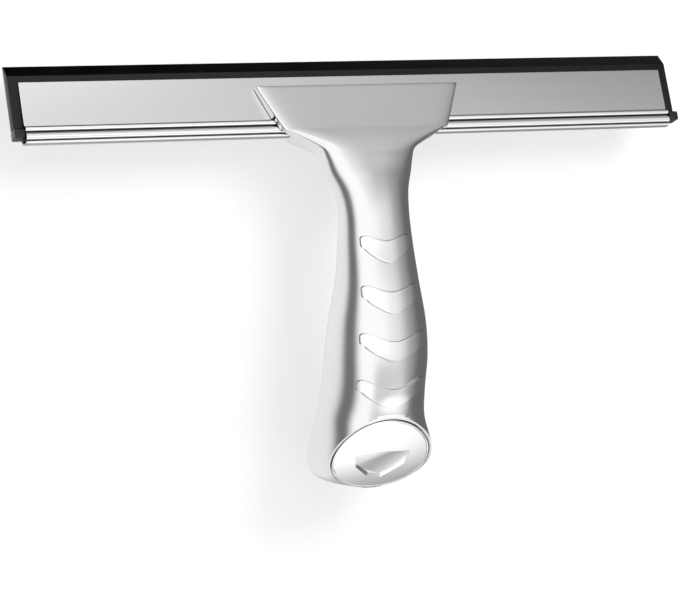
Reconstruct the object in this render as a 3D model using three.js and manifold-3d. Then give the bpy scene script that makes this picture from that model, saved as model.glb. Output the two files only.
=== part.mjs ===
// Hand squeegee: a folded steel head with a rubber blade, on a cast handle with four grip pads.
// Millimetres, +Z up. The blade points up and leans back, and the handle hangs below it.
// The origin is the middle of the underside of the head's rolled channel. X runs along the blade,
// and the front of the handle faces -Y.

import * as THREE from "three";
import { mergeVertices } from "three/addons/utils/BufferGeometryUtils.js";
import Module from "manifold-3d";

// ---- driving dimensions -----------------------------------------------------------------------

const FIT_GAP = 0.3; // gap between pieces that touch

// Head: a folded channel that leans back, with the rubber in it
const HEAD_LEAN = 22.5; // degrees from upright
const CHANNEL_LENGTH = 246;
const CHANNEL_HEIGHT = 21.7;
const SHEET = 0.6; // steel sheet thickness
const RUBBER_THICKNESS = 3.6;
const RUBBER_PLAY = 0.35; // rubber to each wall of the channel
const BEAD_DEPTH = 1.4; // how far the rolled beads stand out of the front wall
const BEAD_NIP = 0.6; // the inside of a bead is shorter than its outside by this share of the sheet
const BEAD_TOP = 6.2; // height where the beads end and the flat wall starts
const BEAD_SPLIT = 4.0; // height of the crease between the two beads
const BEAD_FOOT = 1.05; // height of the crease under the lower bead
const BEAD_SHOULDER = 0.4; // from the top of the beads down to where they stand out fully
const BACK_BEND = 4; // radius of the fold at the foot of the back wall
const BEND_STEPS = 6;

// Rubber blade
const RUBBER_OVERHANG = 3.4; // past each end of the channel
const RUBBER_STANDOUT = 2.5; // from the channel's top up to where the front bevel starts
const LIP_RISE = 4.4; // height of the bevelled lip
const RUBBER_LAND = 0.7; // thickness of the wiping edge
const RUBBER_HEEL = 1; // from the sheet up to the foot of the rubber
const RUBBER_HEEL_CUT = 1.9; // chamfer on the heel's back edge, clear of the fold
const RUBBER_DROP = 0.5; // from the foot of the rubber past the channel down to the end cap

// End caps
const END_CAP_PLUG = 6.5; // length inside the channel
const END_CAP_BLOCK = 3.6; // length outside the channel
const END_CAP_TOP = 5.1;
const END_CAP_FOOT = 1.9;
const END_CAP_FRONT = -1.4;
const END_CAP_BACK = 3.9;
const PLUG_LIFT = 0.9; // plug to the sheet under it
const PLUG_DEPTH = 2.4;
const PLUG_HEIGHT = 1.9;

// Fan: the flat top of the handle, which lies on the front of the channel
const FAN_TOP = 17.6;
const FAN_BEND = 2.3; // height of the fan's lower corners
const FAN_TOP_HALF = 38.7;
const FAN_BEND_HALF = 31.9;
const FAN_TOP_PROUD = 2.7; // in front of the channel's flat wall
const FAN_BEND_PROUD = 4.6;

// Clamp behind the channel
const CLAMP_THICKNESS = 2.4;
const CLAMP_TOP = 13;
const CLAMP_FOOT = -13;
const CLAMP_TOP_HALF = 24;
const CLAMP_FOOT_HALF = 12;
const CLAMP_SHOULDER = 1; // height where the plate starts to narrow
const CLAMP_CORNER = 2; // chamfer of its lower corners
const CLAMP_SCREW_HEIGHT = -6.5;
const CLAMP_SCREW_SPREAD = 7.5; // from the middle to each screw
const CLAMP_SCREW_DIAMETER = 3;
const CLAMP_SCREW_REACH = 7; // thread inside the casting
const CLAMP_HEAD_DIAMETER = 5.6;
const CLAMP_HEAD_HEIGHT = 1.8;
const WASHER_DIAMETER = 7;
const WASHER_THICKNESS = 0.6;
const CLAMP_SLOT_FLOOR = 0.7; // metal left under the cross slot

// Grip: the hollow, the cover that closes it from behind, and its screws
const COVER_TOP = -34;
const COVER_FOOT = -112;
const COVER_TOP_HALF = 7;
const COVER_FOOT_HALF = 11.5;
const COVER_THICKNESS = 2.2;
const GASKET_THICKNESS = 0.8;
const LEDGE = 2; // width of the step that the cover sits on
const HOLLOW_MOUTH = -10; // depth from which the hollow is as wide as the cover's opening
const COVER_SIDE = { near: -6, far: 30 }; // a prism that crosses the back of the grip only
const CASTING_WALL = 4.2;
const COVER_SCREW_HEIGHTS = [-44, -91];
const COVER_SCREW_DIAMETER = 2.5;
const COVER_SCREW_REACH = 8;
const COVER_HEAD_DIAMETER = 4.6;
const COVER_HEAD_HEIGHT = 1.2;
const COVER_HEAD_PROUD = 0.2;
const COVER_SLOT_FLOOR = 0.4;
const BOSS_DIAMETER = 6.4;
const BOSS_REACH = { near: -24, far: 10 }; // a bar from the front wall to behind the grip

// Grip pads. The middle of each edge is at the height given for it, and its ends stand a rise
// above that.
const PADS = [
  { top: -35.5, foot: -43.0, topHalf: 8.2, footHalf: 9.3, topRise: 2.3, footRise: 4.9 },
  { top: -52.8, foot: -60.2, topHalf: 9.6, footHalf: 10.6, topRise: 2.8, footRise: 5.1 },
  { top: -69.8, foot: -76.8, topHalf: 11.2, footHalf: 12.2, topRise: 3.7, footRise: 5.9 },
  { top: -86.6, foot: -93.0, topHalf: 12.0, footHalf: 12.7, topRise: 4.2, footRise: 6.0 },
];
const PAD_PROUD = 0.7;
const PAD_SEAT = 1.4; // depth of a pad in its pocket
const PAD_CURVE = 1.45; // 1 makes a pad's edges a straight V, and 2 a parabola
const PAD_STEPS = 10; // steps in each half of an edge
const PAD_CORNER = 1; // height of the chamfer at a pad's upper corners
const PAD_REACH = { near: -60, far: -12 }; // a prism that crosses the front of the grip only

// Butt cap: an egg-shaped plate let into the oblique end of the grip
const BUTT_HALF_WIDTH = 18.4;
const BUTT_HALF_LENGTH = 14.8;
const BUTT_EGG = 0.12; // how much wider the egg is below its middle
const BUTT_TILT = 29.7; // degrees that its face leans under
const BUTT_MIDDLE = { y: -15.3, z: -110.5 };
const BUTT_PROUD = 0.5;
const BUTT_SEAT = 2;
const BUTT_EDGE = 0.5; // bevel round the plate
const RECESS_DEPTH = 1.3;
const RECESS_SIDES = 5;
const RECESS_MOUTH = 9; // radius of the recess at its rim, before it is widened and flattened
const RECESS_FLOOR = 5.5;
const RECESS_WIDEN = 1.15;
const RECESS_FLATTEN = 0.72;
const RECESS_DROP = 3; // below the plate's middle
const STUD_DIAMETER = 5;
const STUD_LENGTH = 5.5;
const STUD_RISE = 4.5; // from the cap's middle up along its face
const STUD_ROOT = 0.5; // stud inside the plate
const STUD_HOLE_REACH = 14;
const BUTT_WALL = 2.6; // casting left behind the plate
const NUT_RIM = 1.7; // width of the push nut's ring
const NUT_THICKNESS = 1;

// ---- values that follow from them -------------------------------------------------------------

const RAD = Math.PI / 180;
const CAVITY = RUBBER_THICKNESS + 2 * RUBBER_PLAY; // inside width of the channel
const CHANNEL_DEPTH = CAVITY + 2 * SHEET;
const CLAMP_FACE = CHANNEL_DEPTH + FIT_GAP; // front of the clamp plate
const CLAMP_BACK = CLAMP_FACE + CLAMP_THICKNESS;
const RUBBER_FRONT = SHEET + RUBBER_PLAY;
const RUBBER_BACK = RUBBER_FRONT + RUBBER_THICKNESS;
const RUBBER_SHOULDER = CHANNEL_HEIGHT + RUBBER_STANDOUT;
const RUBBER_TIP = RUBBER_SHOULDER + LIP_RISE;
const HEAD_REAR = CHANNEL_DEPTH - 0.1; // back of the casting under the channel
const NUT_DIAMETER = STUD_DIAMETER + 2 * NUT_RIM;
const BUTT_FLOOR = BUTT_SEAT + FIT_GAP + BUTT_WALL; // inner face of the casting's wall behind the cap

// Sections of the handle from the fan down to the butt. height is along the section's own up
// direction, lean turns the section about X, half is the half width, front, waist and rear are
// places along the section's depth, and square is the exponent of its rounded outline.
const SECTIONS = [
  { height: FAN_TOP, lean: 22.5, half: FAN_TOP_HALF, front: -FAN_TOP_PROUD, waist: 1, rear: 5, square: 22 },
  {
    height: FAN_BEND, lean: 22.5, half: FAN_BEND_HALF,
    front: -FAN_BEND_PROUD, waist: 0.4, rear: HEAD_REAR, square: 18,
  },
  { height: 0.8, lean: 22.5, half: 30.1, front: -4.9, waist: 0.3, rear: HEAD_REAR, square: 14 },
  { height: -1.2, lean: 22.5, half: 26.2, front: -5.3, waist: 0.2, rear: HEAD_REAR, square: 9 },
  { height: -3.6, lean: 22, half: 21.8, front: -5.7, waist: 0.1, rear: HEAD_REAR, square: 6 },
  { height: -6.2, lean: 21, half: 17.9, front: -6.1, waist: 0, rear: 5.3, square: 4.4 },
  { height: -9, lean: 19.5, half: 16.7, front: -6.6, waist: -0.1, rear: 5, square: 3.4 },
  { height: -14, lean: 15, half: 15.5, front: -8.3, waist: -0.7, rear: 4.4, square: 2.8 },
  { height: -20, lean: 8.5, half: 13.4, front: -12.2, waist: -3.6, rear: 2.4, square: 2.5 },
  { height: -27, lean: 2.5, half: 12.5, front: -16.4, waist: -7.6, rear: 0.6, square: 2.5 },
  { height: -36, lean: 0, half: 13.0, front: -19.8, waist: -10, rear: 0, square: 2.5 },
  { height: -50, lean: 0, half: 14.3, front: -23.6, waist: -11.8, rear: 1, square: 2.5 },
  { height: -64, lean: 0, half: 16.7, front: -26.3, waist: -11.3, rear: 2.2, square: 2.5 },
  { height: -76, lean: 0, half: 17.6, front: -27.1, waist: -10, rear: 3.4, square: 2.5 },
  { height: -88, lean: 0, half: 17.8, front: -25.6, waist: -6.4, rear: 4.7, square: 2.5 },
  { height: -98, lean: 0, half: 18.9, front: -23.8, waist: -4, rear: 5.8, square: 2.5 },
  { height: -107, lean: 0, half: 20.4, front: -24.5, waist: -2, rear: 6.4, square: 3.2 },
  { height: -113, lean: 0, half: 20.9, front: -24, waist: -1, rear: 6.4, square: 3.2 },
  { height: -117, lean: 0, half: 20.2, front: -17.5, waist: -0.6, rear: 6, square: 2.8 },
  { height: -120, lean: 0, half: 17.6, front: -12.3, waist: -0.2, rear: 4.6, square: 2.7 },
  { height: -122.3, lean: 0, half: 12, front: -9.7, waist: 0, rear: 1.8, square: 2.6 },
  { height: -123.4, lean: 0, half: 6.5, front: -8.6, waist: -1.6, rear: -0.8, square: 2.4 },
  { height: -123.9, lean: 0, half: 3, front: -8, waist: -4.4, rear: -3, square: 2.2 },
];
const STEPS_PER_SECTION = 2;
const SIDES = 44;
const CUT = 10; // how far a cutting solid runs past what it cuts
const SEAT_BLOCK = { width: 60, depth: 20, height: 40 }; // a block that covers the clamp plate
const KEEP_CLEAR = { width: 80, depth: 60, height: 90 }; // a block that covers the whole butt

// ---- solids -----------------------------------------------------------------------------------

const wasm = await Module();
wasm.setup();

function solid(geometry) {
  const bare = geometry.index ? geometry.clone() : geometry;
  bare.deleteAttribute("normal");
  bare.deleteAttribute("uv");
  const merged = mergeVertices(bare, 1e-4);
  const vertProperties = new Float32Array(merged.attributes.position.array);
  const triVerts = new Uint32Array(merged.index.array);
  return new wasm.Manifold(new wasm.Mesh({ numProp: 3, vertProperties, triVerts }));
}

function geometryOf(manifold) {
  const mesh = manifold.getMesh();
  const geometry = new THREE.BufferGeometry();
  geometry.setAttribute("position", new THREE.BufferAttribute(mesh.vertProperties, 3));
  geometry.setIndex(new THREE.BufferAttribute(mesh.triVerts, 1));
  geometry.computeVertexNormals();
  return geometry;
}

// An outline in (across, up) pushed through a thickness. The outline stands in the XZ plane and the
// thickness runs from y = near to y = far.
function slab(shape, near, far, bevel = 0) {
  const geometry = new THREE.ExtrudeGeometry(shape, {
    depth: far - near - 2 * bevel,
    bevelEnabled: bevel > 0,
    bevelThickness: bevel,
    bevelSize: bevel,
    bevelOffset: -bevel,
    bevelSegments: 2,
    curveSegments: 20,
  });
  geometry.rotateX(Math.PI / 2);
  geometry.translate(0, far - bevel, 0);
  return geometry;
}

// A profile in (depth, height) pushed along X, centred
function rail(points, length) {
  const shape = new THREE.Shape(points.map(([y, z]) => new THREE.Vector2(y, z)));
  const geometry = new THREE.ExtrudeGeometry(shape, { depth: length, bevelEnabled: false });
  geometry.rotateX(Math.PI / 2);
  geometry.rotateZ(Math.PI / 2);
  geometry.translate(-length / 2, 0, 0);
  return geometry;
}

// A round bar along Y from y = near to y = far
function bar(diameter, near, far, x, z, sides = 20) {
  const geometry = new THREE.CylinderGeometry(diameter / 2, diameter / 2, far - near, sides);
  geometry.translate(x, (near + far) / 2, z);
  return geometry;
}

function leaned(geometry) {
  return geometry.rotateX(-HEAD_LEAN * RAD);
}

// Catmull-Rom value of one key of the sections, at a place counted in sections
function sectionValue(key, place) {
  const last = SECTIONS.length - 1;
  const i = Math.min(Math.floor(place), last - 1);
  const t = place - i;
  const [a, b, c, d] = [i - 1, i, i + 1, i + 2].map((n) => SECTIONS[Math.min(Math.max(n, 0), last)][key]);
  const bend = (c - b) * t + b;
  const ease = t * (1 - t) * ((1 - t) * ((c - a) / 2 - (c - b)) - t * ((d - b) / 2 - (c - b)));
  return bend + ease;
}

// A sine or cosine bent towards a square's side; tiny values count as zero so that seams meet
function rounded(value, power) {
  return Math.abs(value) < 1e-9 ? 0 : Math.sign(value) * Math.abs(value) ** power;
}

// The handle's outer skin, moved outwards by grow
function handleLoft(grow = 0) {
  const rings = (SECTIONS.length - 1) * STEPS_PER_SECTION;
  const geometry = new THREE.CylinderGeometry(1, 1, rings, SIDES, rings);
  const position = geometry.attributes.position;
  const point = new THREE.Vector3();
  const across = new THREE.Vector3(1, 0, 0);
  for (let n = 0; n < position.count; n += 1) {
    point.fromBufferAttribute(position, n);
    const place = (rings / 2 - point.y) / STEPS_PER_SECTION;
    const value = (key) => sectionValue(key, place);
    const power = 2 / value("square");
    const side = rounded(point.x, power);
    const depth = -rounded(point.z, power);
    const waist = value("waist");
    const reach = depth < 0 ? waist - value("front") : value("rear") - waist;
    let height = value("height");
    if (place <= 0) height += grow;
    if (place >= SECTIONS.length - 1) height -= grow;
    point.set(side * (value("half") + grow), waist + depth * (reach + grow), height);
    point.applyAxisAngle(across, -value("lean") * RAD);
    position.setXYZ(n, point.x, point.y, point.z);
  }
  return solid(geometry);
}

// ---- head -------------------------------------------------------------------------------------

function bulge(zLow, zHigh, depth, base, steps = 7) {
  const middle = (zLow + zHigh) / 2;
  const half = (zHigh - zLow) / 2;
  return Array.from({ length: steps + 1 }, (_, n) => {
    const angle = Math.PI / 2 - (n / steps) * Math.PI;
    return [base - depth * Math.cos(angle), middle + half * Math.sin(angle)];
  });
}

// The fold between the underside and the back wall
function backBend(radius, inset) {
  return Array.from({ length: BEND_STEPS + 1 }, (_, n) => {
    const angle = (n / BEND_STEPS) * (Math.PI / 2);
    const y = CHANNEL_DEPTH - inset - radius * (1 - Math.sin(angle));
    return [y, inset + radius * (1 - Math.cos(angle))];
  });
}

// Outside of the folded sheet at inset 0, inside of it at inset SHEET
function channelOutline(inset) {
  const front = inset;
  const nip = inset * BEAD_NIP;
  return [
    ...bulge(BEAD_SPLIT + nip, BEAD_TOP - nip, BEAD_DEPTH, front),
    ...bulge(BEAD_FOOT + nip, BEAD_SPLIT - nip, BEAD_DEPTH, front),
    ...bulge(inset, BEAD_FOOT - nip / 2, BEAD_DEPTH / 2, front, 5),
    ...backBend(BACK_BEND - inset, inset),
  ];
}

function steelChannel() {
  const outside = channelOutline(0);
  const inside = channelOutline(SHEET).reverse();
  const points = [
    [0, CHANNEL_HEIGHT],
    ...outside,
    [CHANNEL_DEPTH, CHANNEL_HEIGHT],
    [CHANNEL_DEPTH - SHEET, CHANNEL_HEIGHT],
    ...inside,
    [SHEET, CHANNEL_HEIGHT],
  ];
  return leaned(rail(points, CHANNEL_LENGTH));
}

function rubberBlade() {
  const body = rail([
    [RUBBER_FRONT, BEAD_TOP + FIT_GAP],
    [RUBBER_BACK, BEAD_TOP + FIT_GAP],
    [RUBBER_BACK, RUBBER_TIP],
    [RUBBER_BACK - RUBBER_LAND, RUBBER_TIP],
    [RUBBER_FRONT, RUBBER_SHOULDER],
  ], CHANNEL_LENGTH + 2 * RUBBER_OVERHANG);
  const slack = SHEET * BEAD_NIP + FIT_GAP;
  const bead = rail([
    [RUBBER_BACK, BEAD_TOP + 2 * FIT_GAP],
    [RUBBER_FRONT, BEAD_TOP + 2 * FIT_GAP],
    ...bulge(BEAD_SPLIT + slack, BEAD_TOP - slack, BEAD_DEPTH - FIT_GAP, RUBBER_FRONT),
    ...bulge(BEAD_FOOT + slack, BEAD_SPLIT - slack, BEAD_DEPTH - FIT_GAP, RUBBER_FRONT),
    [RUBBER_FRONT, SHEET + RUBBER_HEEL],
    [RUBBER_BACK - RUBBER_HEEL_CUT, SHEET + RUBBER_HEEL],
    [RUBBER_BACK, SHEET + RUBBER_HEEL + RUBBER_HEEL_CUT],
  ], CHANNEL_LENGTH - 2 * (END_CAP_PLUG + FIT_GAP));
  let blade = solid(body).add(solid(bead));
  for (const side of [-1, 1]) blade = blade.add(solid(rubberFoot(side)));
  return leaned(geometryOf(blade));
}

// The rubber past the channel's end reaches down to the end cap
function rubberFoot(side) {
  const foot = END_CAP_TOP + RUBBER_DROP;
  const height = BEAD_TOP + 1 - foot;
  const length = RUBBER_OVERHANG - FIT_GAP;
  const box = new THREE.BoxGeometry(length, RUBBER_THICKNESS, height);
  const x = CHANNEL_LENGTH / 2 + FIT_GAP + length / 2;
  return box.translate(side * x, RUBBER_FRONT + RUBBER_THICKNESS / 2, foot + height / 2);
}

function endCap(side) {
  const start = CHANNEL_LENGTH / 2;
  const blockDepth = END_CAP_BACK - END_CAP_FRONT;
  const block = new THREE.BoxGeometry(END_CAP_BLOCK, blockDepth, END_CAP_TOP - END_CAP_FOOT);
  const blockX = start + FIT_GAP + END_CAP_BLOCK / 2;
  block.translate(side * blockX, (END_CAP_BACK + END_CAP_FRONT) / 2, (END_CAP_TOP + END_CAP_FOOT) / 2);
  const plugLength = END_CAP_PLUG + 2 * FIT_GAP;
  const plug = new THREE.BoxGeometry(plugLength, PLUG_DEPTH, PLUG_HEIGHT);
  const plugX = start - END_CAP_PLUG + plugLength / 2;
  plug.translate(side * plugX, SHEET + FIT_GAP + PLUG_DEPTH / 2, SHEET + PLUG_LIFT + PLUG_HEIGHT / 2);
  return leaned(geometryOf(solid(block).add(solid(plug))));
}

// ---- clamp ------------------------------------------------------------------------------------

function clampPlate() {
  const shape = new THREE.Shape();
  shape.moveTo(-CLAMP_TOP_HALF, CLAMP_TOP);
  shape.lineTo(CLAMP_TOP_HALF, CLAMP_TOP);
  shape.lineTo(CLAMP_TOP_HALF, CLAMP_SHOULDER);
  shape.quadraticCurveTo(CLAMP_FOOT_HALF + 1, 0, CLAMP_FOOT_HALF, CLAMP_FOOT + CLAMP_CORNER);
  shape.lineTo(CLAMP_FOOT_HALF - CLAMP_CORNER, CLAMP_FOOT);
  shape.lineTo(CLAMP_CORNER - CLAMP_FOOT_HALF, CLAMP_FOOT);
  shape.lineTo(-CLAMP_FOOT_HALF, CLAMP_FOOT + CLAMP_CORNER);
  shape.quadraticCurveTo(-CLAMP_FOOT_HALF - 1, 0, -CLAMP_TOP_HALF, CLAMP_SHOULDER);
  let plate = solid(slab(shape, CLAMP_FACE, CLAMP_BACK));
  for (const side of [-1, 1]) {
    const hole = bar(CLAMP_SCREW_DIAMETER + 2 * FIT_GAP, CLAMP_FACE - CUT, CLAMP_BACK + CUT,
      side * CLAMP_SCREW_SPREAD, CLAMP_SCREW_HEIGHT);
    plate = plate.subtract(solid(hole));
  }
  return leaned(geometryOf(plate));
}

// A cross slot in proportion to its screw head
function crossSlot(diameter, near, far, x, z) {
  const width = diameter * 0.2;
  const length = diameter * 0.62;
  const one = new THREE.BoxGeometry(length, far - near, width).translate(x, (near + far) / 2, z);
  const two = new THREE.BoxGeometry(width, far - near, length).translate(x, (near + far) / 2, z);
  return solid(one).add(solid(two));
}

function clampScrew(side) {
  const x = side * CLAMP_SCREW_SPREAD;
  const z = CLAMP_SCREW_HEIGHT;
  const seat = CLAMP_BACK + WASHER_THICKNESS + 2 * FIT_GAP;
  const tip = CHANNEL_DEPTH - CLAMP_SCREW_REACH;
  const shank = solid(bar(CLAMP_SCREW_DIAMETER, tip, seat + 0.5, x, z));
  const head = solid(bar(CLAMP_HEAD_DIAMETER, seat, seat + CLAMP_HEAD_HEIGHT, x, z, 28));
  const slot = crossSlot(CLAMP_HEAD_DIAMETER, seat + CLAMP_SLOT_FLOOR, seat + CUT, x, z);
  return leaned(geometryOf(shank.add(head).subtract(slot)));
}

function clampWasher(side) {
  const near = CLAMP_BACK + FIT_GAP;
  const x = side * CLAMP_SCREW_SPREAD;
  const disc = bar(WASHER_DIAMETER, near, near + WASHER_THICKNESS, x, CLAMP_SCREW_HEIGHT, 28);
  const hole = bar(CLAMP_SCREW_DIAMETER + 2 * FIT_GAP, near - CUT, near + CUT, x, CLAMP_SCREW_HEIGHT);
  return leaned(geometryOf(solid(disc).subtract(solid(hole))));
}

// ---- handle -----------------------------------------------------------------------------------

function padOutline(pad, grow = 0) {
  const top = pad.top + grow;
  const foot = pad.foot - grow;
  const topHalf = pad.topHalf + grow;
  const footHalf = pad.footHalf + grow;
  const edge = (half, height, rise) => Array.from({ length: 2 * PAD_STEPS + 1 }, (_, n) => {
    const share = n / PAD_STEPS - 1;
    return new THREE.Vector2(share * half, height + rise * Math.abs(share) ** PAD_CURVE);
  });
  const corner = (half) => new THREE.Vector2(half, top + pad.topRise - PAD_CORNER);
  return new THREE.Shape([
    ...edge(topHalf, top, pad.topRise),
    corner(footHalf),
    ...edge(footHalf, foot, pad.footRise).reverse(),
    corner(-footHalf),
  ]);
}

function gripPad(pad) {
  const prism = solid(slab(padOutline(pad), PAD_REACH.near, PAD_REACH.far));
  return geometryOf(prism.intersect(handleLoft(PAD_PROUD)).subtract(handleLoft(-PAD_SEAT)));
}

function coverOutline(grow = 0) {
  const shape = new THREE.Shape();
  const top = COVER_TOP + grow;
  const foot = COVER_FOOT - grow;
  const topHalf = COVER_TOP_HALF + grow;
  const footHalf = COVER_FOOT_HALF + grow;
  shape.absarc(0, top - topHalf, topHalf, 0, Math.PI, false);
  shape.absarc(0, foot + footHalf, footHalf, Math.PI, 2 * Math.PI, false);
  return shape;
}

function coverPrism(grow, near = COVER_SIDE.near) {
  return solid(slab(coverOutline(grow), near, COVER_SIDE.far));
}

// A frame whose Y points into the grip through the butt cap and whose Z points up along its face
function onButtPlane(geometry) {
  geometry.rotateX(BUTT_TILT * RAD);
  return geometry.translate(0, BUTT_MIDDLE.y, BUTT_MIDDLE.z);
}

function eggOutline(grow = 0) {
  const points = Array.from({ length: 48 }, (_, n) => {
    const angle = (n / 48) * 2 * Math.PI;
    const egg = 1 - BUTT_EGG * Math.cos(angle);
    const x = (BUTT_HALF_WIDTH + grow) * Math.sin(angle) * egg;
    return new THREE.Vector2(x, (BUTT_HALF_LENGTH + grow) * Math.cos(angle));
  });
  return new THREE.Shape(points);
}

function buttCap() {
  const plate = solid(slab(eggOutline(), -BUTT_PROUD, BUTT_SEAT, BUTT_EDGE));
  const recess = new THREE.CylinderGeometry(RECESS_MOUTH, RECESS_FLOOR, 2 * RECESS_DEPTH, RECESS_SIDES);
  recess.scale(RECESS_WIDEN, 1, RECESS_FLATTEN);
  recess.rotateX(Math.PI);
  recess.translate(0, -BUTT_PROUD, -RECESS_DROP);
  const stud = bar(STUD_DIAMETER, BUTT_SEAT - STUD_ROOT, BUTT_SEAT + STUD_LENGTH, 0, STUD_RISE);
  return onButtPlane(geometryOf(plate.subtract(solid(recess)).add(solid(stud))));
}

// A ring pushed onto the cap's stud from inside the grip
function pushNut() {
  const near = BUTT_FLOOR + FIT_GAP;
  const disc = bar(NUT_DIAMETER, near, near + NUT_THICKNESS, 0, STUD_RISE, 28);
  const hole = bar(STUD_DIAMETER + 2 * FIT_GAP, near - CUT, near + CUT, 0, STUD_RISE);
  return onButtPlane(geometryOf(solid(disc).subtract(solid(hole))));
}

// Everything on the outer side of a plane parallel to the butt cap's face, depth behind its middle
function beyondButt(depth) {
  const block = new THREE.BoxGeometry(KEEP_CLEAR.width, KEEP_CLEAR.depth, KEEP_CLEAR.height);
  return solid(onButtPlane(block.translate(0, depth - KEEP_CLEAR.depth / 2, 0)));
}

function handleCasting() {
  let casting = handleLoft().subtract(beyondButt(0));

  // room for the channel: everything behind the fan, above the channel's underside
  const room = leaned(rail([
    [-FIT_GAP, CHANNEL_HEIGHT + CUT],
    [-FIT_GAP, BEAD_TOP + FIT_GAP],
    [-BEAD_DEPTH - FIT_GAP, BEAD_TOP - BEAD_SHOULDER],
    [-BEAD_DEPTH - FIT_GAP, BEAD_FOOT - FIT_GAP],
    [-BEAD_DEPTH / 2 - FIT_GAP, -FIT_GAP],
    [CHANNEL_DEPTH + CUT, -FIT_GAP],
    [CHANNEL_DEPTH + CUT, CHANNEL_HEIGHT + CUT],
  ], CHANNEL_LENGTH));
  casting = casting.subtract(solid(room));

  // flat seat for the clamp plate, and its tapped holes
  const seat = new THREE.BoxGeometry(SEAT_BLOCK.width, SEAT_BLOCK.depth, SEAT_BLOCK.height);
  seat.translate(0, CHANNEL_DEPTH + SEAT_BLOCK.depth / 2, CLAMP_FOOT - FIT_GAP + SEAT_BLOCK.height / 2);
  casting = casting.subtract(solid(leaned(seat)));
  for (const side of [-1, 1]) {
    const hole = bar(CLAMP_SCREW_DIAMETER + 2 * FIT_GAP, CHANNEL_DEPTH - CLAMP_SCREW_REACH - FIT_GAP,
      CHANNEL_DEPTH + CUT, side * CLAMP_SCREW_SPREAD, CLAMP_SCREW_HEIGHT);
    casting = casting.subtract(solid(leaned(hole)));
  }

  // hollow, open to the back under the cover
  const capWall = beyondButt(BUTT_FLOOR);
  const hollow = coverPrism(-LEDGE, PAD_REACH.near).intersect(handleLoft(-CASTING_WALL));
  const mouth = coverPrism(-LEDGE, HOLLOW_MOUTH);
  casting = casting.subtract(hollow.add(mouth).subtract(capWall));
  const pocket = coverPrism(FIT_GAP).subtract(handleLoft(-COVER_THICKNESS - GASKET_THICKNESS - 2 * FIT_GAP));
  casting = casting.subtract(pocket);

  // bosses for the cover's screws
  for (const height of COVER_SCREW_HEIGHTS) {
    const depth = COVER_THICKNESS + GASKET_THICKNESS + 2 * FIT_GAP;
    const column = solid(bar(BOSS_DIAMETER, BOSS_REACH.near, BOSS_REACH.far, 0, height, 24));
    const bore = bar(COVER_SCREW_DIAMETER + 2 * FIT_GAP, -COVER_SCREW_REACH - 4, COVER_SIDE.far, 0, height);
    casting = casting.add(column.intersect(handleLoft(-depth))).subtract(solid(bore));
  }

  // pockets for the grip pads and the butt cap
  for (const pad of PADS) {
    const prism = solid(slab(padOutline(pad, FIT_GAP), PAD_REACH.near, PAD_REACH.far));
    casting = casting.subtract(prism.subtract(handleLoft(-PAD_SEAT - FIT_GAP)));
  }
  const capSeat = onButtPlane(slab(eggOutline(FIT_GAP), -CUT, BUTT_SEAT + FIT_GAP));
  const studHole = onButtPlane(bar(STUD_DIAMETER + 2 * FIT_GAP, 0, STUD_HOLE_REACH, 0, STUD_RISE));
  return geometryOf(casting.subtract(solid(capSeat)).subtract(solid(studHole)));
}

function rearCover() {
  let cover = coverPrism(0).intersect(handleLoft()).subtract(handleLoft(-COVER_THICKNESS));
  for (const height of COVER_SCREW_HEIGHTS) {
    const hole = bar(COVER_SCREW_DIAMETER + 2 * FIT_GAP, -COVER_SIDE.far, COVER_SIDE.far, 0, height);
    const sinkFloor = backAt(height) - COVER_HEAD_HEIGHT;
    const sink = bar(COVER_HEAD_DIAMETER + 2 * FIT_GAP, sinkFloor, COVER_SIDE.far, 0, height, 28);
    cover = cover.subtract(solid(hole)).subtract(solid(sink));
  }
  return geometryOf(cover);
}

function coverGasket() {
  const outer = COVER_THICKNESS + FIT_GAP;
  const ring = coverPrism(0).subtract(coverPrism(-LEDGE + FIT_GAP));
  return geometryOf(ring.intersect(handleLoft(-outer)).subtract(handleLoft(-outer - GASKET_THICKNESS)));
}

// Where the back of the grip is at a height, between the two sections beside it
function backAt(height) {
  const below = SECTIONS.findIndex((section) => section.height <= height);
  const [high, low] = [SECTIONS[below - 1], SECTIONS[below]];
  const share = (high.height - height) / (high.height - low.height);
  return high.rear + (low.rear - high.rear) * share;
}

function coverScrew(height) {
  const back = backAt(height);
  const seat = back - COVER_HEAD_HEIGHT + FIT_GAP;
  const shank = solid(bar(COVER_SCREW_DIAMETER, -COVER_SCREW_REACH - 2, seat + 0.5, 0, height));
  const head = solid(bar(COVER_HEAD_DIAMETER, seat, back + COVER_HEAD_PROUD, 0, height, 28));
  const slot = crossSlot(COVER_HEAD_DIAMETER, seat + COVER_SLOT_FLOOR, back + CUT, 0, height);
  return geometryOf(shank.add(head).subtract(slot));
}

// ---- the assembly -----------------------------------------------------------------------------

const steel = { color: 0xc4c6c8, roughness: 0.28, metalness: 1 };
const satin = { color: 0xb4b6b8, roughness: 0.3, metalness: 1 };
const mirror = { color: 0xdadcde, roughness: 0.08, metalness: 1 };
const black = { color: 0x1c1c1e, roughness: 0.6, metalness: 0 };

const squeegee = new THREE.Group();

function place(name, geometry, look) {
  const mesh = new THREE.Mesh(geometry, new THREE.MeshStandardMaterial(look));
  mesh.name = name;
  squeegee.add(mesh);
}

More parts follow.
